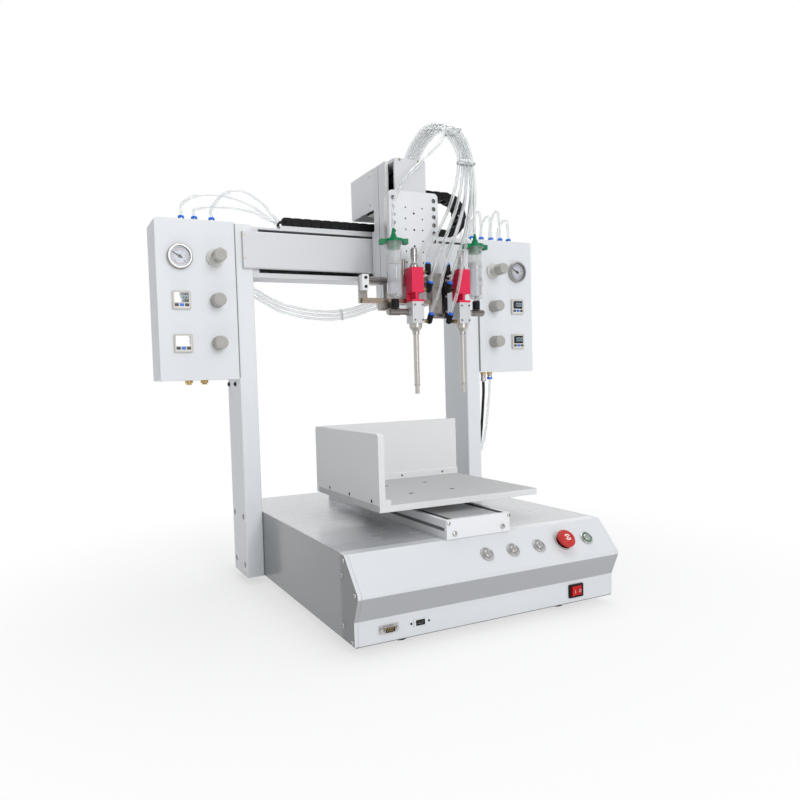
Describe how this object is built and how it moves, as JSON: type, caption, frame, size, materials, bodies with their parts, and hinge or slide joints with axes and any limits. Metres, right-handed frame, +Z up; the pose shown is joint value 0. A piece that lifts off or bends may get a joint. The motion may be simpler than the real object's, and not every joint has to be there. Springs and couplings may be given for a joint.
{
  "type": "conformal coating machine",
  "caption": "Bench-top coating robot with a portal, a moving fixture table, a lifting head with spray valves and syringes, and pneumatic control boxes.",
  "frame": {"origin": "middle of the machine's outline on the floor, under the feet", "axes": "+X to the right seen from the front, +Y to the back, +Z up; the control panel faces -Y"},
  "size_m": [0.81, 0.5624, 0.8629],
  "materials": {
    "white_paint": "satin light grey powder coat",
    "panel_paint": "glossy grey paint",
    "zinc": "zinc plated sheet",
    "black_rubber": "matt black rubber",
    "column_paint": "satin light grey paint",
    "box_paint": "satin light grey paint",
    "box_cover_paint": "satin light grey paint",
    "gauge_steel": "polished bezel with a pale dial",
    "switch_plastic": "beige grey plastic",
    "regulator_metal": "matt grey die casting",
    "fitting_blue": "glossy push-in fittings",
    "beam_paint": "satin light grey paint",
    "cover_paint": "satin white paint",
    "rail_steel": "ground steel",
    "motor_black": "black lacquer",
    "housing_aluminium": "satin anodised",
    "electronics_grey": "perforated steel case and circuit board",
    "bezel_metal": "satin chrome",
    "socket_grey": "dark grey shells",
    "chain_plastic": "black nylon",
    "hose_clear": "clear milky tubing",
    "carriage_aluminium": "milled",
    "lift_aluminium": "satin anodised",
    "lift_cover_paint": "satin white paint",
    "motor_cover_paint": "satin light grey paint",
    "tool_plate_aluminium": "satin anodised",
    "bracket_steel": "brushed",
    "valve_steel": "turned stainless steel",
    "valve_red": "glossy crimson anodised body",
    "syringe_clear": "clear barrel",
    "cap_green": "glossy green",
    "fitting_black": "black push-in elbows",
    "screw_steel": "ground steel",
    "jig_grey": "matt light grey plate",
    "jig_wall_grey": "matt light grey plate",
    "button_metal": "satin chrome cap",
    "estop_red": "glossy red",
    "rocker_red": "glossy translucent red",
    "needle_dark": "dark lacquer",
    "knob_steel": "turned stainless steel",
    "knob_beige": "warm grey plastic"
  },
  "bodies": {
    "frame": {"base_shell": "white_paint", "side_panels": "panel_paint", "bottom_plate": "zinc", "rubber_feet": "black_rubber", "columns": "column_paint", "control_boxes": "box_paint", "box_back_covers": "box_cover_paint", "gauges": "gauge_steel", "pressure_switches": "switch_plastic", "regulators": "regulator_metal", "box_fittings": "fitting_blue", "x_beam": "beam_paint", "axis_covers": "cover_paint", "guide_rails": "rail_steel", "axis_motors": "motor_black", "y_housing": "housing_aluminium", "electronics": "electronics_grey", "panel_bezels": "bezel_metal", "sockets": "socket_grey", "chain_lower_run": "chain_plastic", "box_hoses": "hose_clear"},
    "x_carriage": {"x_carriage": "carriage_aluminium", "z_housing": "lift_aluminium", "z_cover": "lift_cover_paint", "z_motor": "motor_black", "motor_cover": "motor_cover_paint", "chain_upper_run": "chain_plastic", "head_hoses": "hose_clear"},
    "z_tool": {"z_carriage": "carriage_aluminium", "tool_plate": "tool_plate_aluminium", "valve_brackets": "bracket_steel", "valve_bodies": "valve_steel", "valve_blocks": "valve_red", "syringes": "syringe_clear", "syringe_caps": "cap_green", "valve_fittings": "fitting_black"},
    "y_table": {"y_carriage": "carriage_aluminium", "jig_plate": "jig_grey", "jig_walls": "jig_wall_grey"},
    "x_screw_body": {"x_screw": "screw_steel"},
    "y_screw_body": {"y_screw": "screw_steel"},
    "z_screw_body": {"z_screw": "screw_steel"},
    "chain_bend_body": {"chain_bend": "chain_plastic"},
    "push_button_1_body": {"push_button_1": "button_metal"},
    "push_button_2_body": {"push_button_2": "button_metal"},
    "push_button_3_body": {"push_button_3": "button_metal"},
    "start_button_body": {"start_button": "button_metal"},
    "estop_stem_body": {"estop_stem": "bezel_metal"},
    "estop_head_body": {"estop_head": "estop_red"},
    "rocker_key_body": {"rocker_key": "rocker_red"},
    "knob_left_top_body": {"knob_left_top": "knob_beige"},
    "knob_left_mid_body": {"knob_left_mid": "knob_beige"},
    "knob_left_low_body": {"knob_left_low": "knob_beige"},
    "knob_right_top_body": {"knob_right_top": "knob_beige"},
    "knob_right_mid_body": {"knob_right_mid": "knob_beige"},
    "knob_right_low_body": {"knob_right_low": "knob_beige"},
    "needle_left_body": {"needle_left": "needle_dark"},
    "needle_right_body": {"needle_right": "needle_dark"},
    "stroke_knob_1_body": {"stroke_knob_1": "knob_steel"},
    "stroke_knob_2_body": {"stroke_knob_2": "knob_steel"}
  },
  "joints": [
    {"name": "x_slide", "type": "slide", "parent": "frame", "child": "x_carriage", "axis": [1, 0, 0], "range_m": [-0.199, 0.101], "deforming": ["chain_upper_run", "chain_lower_run", "head_hoses"]},
    {"name": "y_slide", "type": "slide", "parent": "frame", "child": "y_table", "axis": [0, 1, 0], "range_m": [-0.1055, 0.1945]},
    {"name": "z_slide", "type": "slide", "parent": "x_carriage", "child": "z_tool", "axis": [0, 0, 1], "range_m": [-0.1, 0], "deforming": ["head_hoses"]},
    {"name": "x_screw_turn", "type": "hinge", "parent": "frame", "child": "x_screw_body", "pos_m": [0, 0.14425, 0.6155], "axis": [1, 0, 0], "range_deg": [-3590, 1825]},
    {"name": "y_screw_turn", "type": "hinge", "parent": "frame", "child": "y_screw_body", "pos_m": [-0.008, -0.01875, 0.1519], "axis": [0, 1, 0], "range_deg": [-1905, 3510]},
    {"name": "z_screw_turn", "type": "hinge", "parent": "x_carriage", "child": "z_screw_body", "pos_m": [0.049, 0.07825, 0.614], "axis": [0, 0, 1], "range_deg": [-3610, 10]},
    {"name": "chain_bend_slide", "type": "slide", "parent": "x_carriage", "child": "chain_bend_body", "axis": [1, 0, 0], "range_m": [-0.0506, 0.0996]},
    {"name": "push_button_1_press", "type": "slide", "parent": "frame", "child": "push_button_1_body", "axis": [0, 0.7448, -0.6672], "range_m": [0, 0.0015], "stiffness_N_per_m": 500},
    {"name": "push_button_2_press", "type": "slide", "parent": "frame", "child": "push_button_2_body", "axis": [0, 0.7448, -0.6672], "range_m": [0, 0.0015], "stiffness_N_per_m": 500},
    {"name": "push_button_3_press", "type": "slide", "parent": "frame", "child": "push_button_3_body", "axis": [0, 0.7448, -0.6672], "range_m": [0, 0.0015], "stiffness_N_per_m": 500},
    {"name": "start_button_press", "type": "slide", "parent": "frame", "child": "start_button_body", "axis": [0, 0.7448, -0.6672], "range_m": [0, 0.0015], "stiffness_N_per_m": 500},
    {"name": "estop_press", "type": "slide", "parent": "frame", "child": "estop_stem_body", "axis": [0, 0.7448, -0.6672], "range_m": [0, 0.004]},
    {"name": "estop_twist", "type": "hinge", "parent": "estop_stem_body", "child": "estop_head_body", "pos_m": [0.135, -0.26647, 0.11467], "axis": [0, -0.7448, 0.6672], "range_deg": [0, 45], "stiffness_Nm_per_rad": 0.1},
    {"name": "rocker_tilt", "type": "hinge", "parent": "frame", "child": "rocker_key_body", "pos_m": [0.154, -0.26475, 0.0315], "axis": [0, 0, -1], "range_deg": [0, 14]},
    {"name": "knob_left_top_turn", "type": "hinge", "parent": "frame", "child": "knob_left_top_body", "pos_m": [-0.301, 0.11825, 0.598], "axis": [0, -1, 0], "continuous": true},
    {"name": "knob_left_mid_turn", "type": "hinge", "parent": "frame", "child": "knob_left_mid_body", "pos_m": [-0.301, 0.11825, 0.5225], "axis": [0, -1, 0], "continuous": true},
    {"name": "knob_left_low_turn", "type": "hinge", "parent": "frame", "child": "knob_left_low_body", "pos_m": [-0.301, 0.11825, 0.447], "axis": [0, -1, 0], "continuous": true},
    {"name": "knob_right_top_turn", "type": "hinge", "parent": "frame", "child": "knob_right_top_body", "pos_m": [0.301, 0.11825, 0.598], "axis": [0, -1, 0], "continuous": true},
    {"name": "knob_right_mid_turn", "type": "hinge", "parent": "frame", "child": "knob_right_mid_body", "pos_m": [0.301, 0.11825, 0.5225], "axis": [0, -1, 0], "continuous": true},
    {"name": "knob_right_low_turn", "type": "hinge", "parent": "frame", "child": "knob_right_low_body", "pos_m": [0.301, 0.11825, 0.447], "axis": [0, -1, 0], "continuous": true},
    {"name": "needle_left_swing", "type": "hinge", "parent": "frame", "child": "needle_left_body", "pos_m": [-0.364, 0.12325, 0.598], "axis": [0, 1, 0], "range_deg": [-60, 210], "stiffness_Nm_per_rad": 0.001},
    {"name": "needle_right_swing", "type": "hinge", "parent": "frame", "child": "needle_right_body", "pos_m": [0.364, 0.12325, 0.598], "axis": [0, 1, 0], "range_deg": [-60, 210], "stiffness_Nm_per_rad": 0.001},
    {"name": "stroke_knob_1_turn", "type": "hinge", "parent": "z_tool", "child": "stroke_knob_1_body", "pos_m": [0.0285, -0.00775, 0.584], "axis": [0, 0, 1], "range_deg": [0, 720]},
    {"name": "stroke_knob_2_turn", "type": "hinge", "parent": "z_tool", "child": "stroke_knob_2_body", "pos_m": [0.1285, -0.00775, 0.584], "axis": [0, 0, 1], "range_deg": [0, 720]}
  ],
  "couplings": [
    {"joint": "x_screw_turn", "follows": "x_slide", "rad_per_m": 314.16},
    {"joint": "y_screw_turn", "follows": "y_slide", "rad_per_m": 314.16},
    {"joint": "z_screw_turn", "follows": "z_slide", "rad_per_m": 628.32},
    {"joint": "chain_bend_slide", "follows": "x_slide", "ratio": -0.5}
  ]
}
